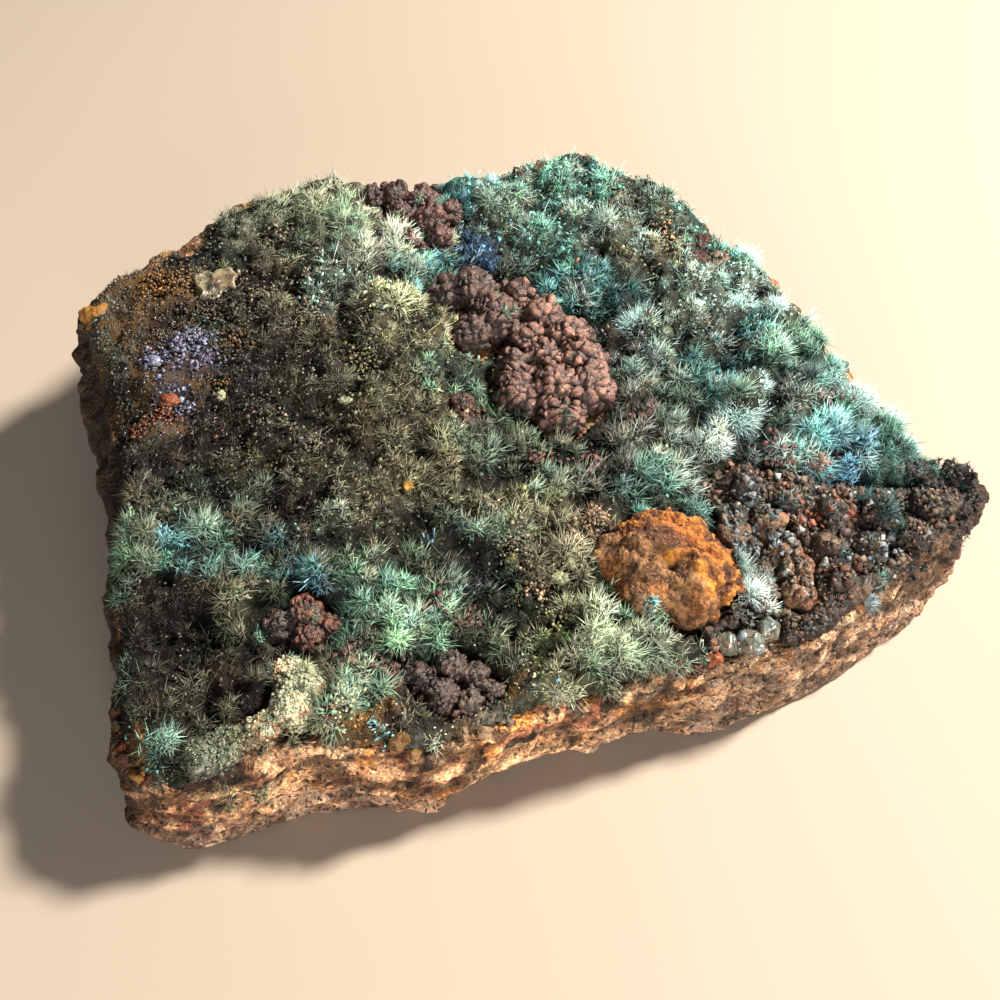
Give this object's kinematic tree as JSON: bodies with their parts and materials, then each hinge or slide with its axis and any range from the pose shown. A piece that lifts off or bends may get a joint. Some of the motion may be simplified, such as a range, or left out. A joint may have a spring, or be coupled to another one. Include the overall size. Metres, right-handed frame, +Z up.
{
  "type": "mineral specimen",
  "caption": "Loose wedge of brown iron-oxide rock, its top grown over with a crust of blue-green radiating aurichalcite needles, goethite knobs and an orange limonite ball",
  "frame": {"origin": "middle of the specimen seen from above, on the plane of its flat foot", "axes": "+X along the longest side towards the pointed end, +Y towards the high back edge, +Z up"},
  "size_m": [0.0861, 0.0713, 0.0228],
  "materials": {
    "gossan": "rough",
    "aurichalcite": "satin",
    "goethite": "satin",
    "limonite": "matte",
    "druse": "satin",
    "hemimorphite": "gloss",
    "carbonate": "satin",
    "calcite": "gloss"
  },
  "bodies": {
    "root": {"gossan_matrix": "gossan", "aurichalcite_crust": "aurichalcite", "goethite_ridge": "goethite", "goethite_knobs_back": "goethite", "goethite_beads_left": "goethite", "goethite_beads_front": "goethite", "goethite_chip": "goethite", "limonite_nodule": "limonite", "limonite_ridge": "limonite", "goethite_druse": "druse", "hemimorphite_balls": "hemimorphite", "carbonate_rim": "carbonate", "calcite_rhomb": "calcite"}
  },
  "joints": []
}
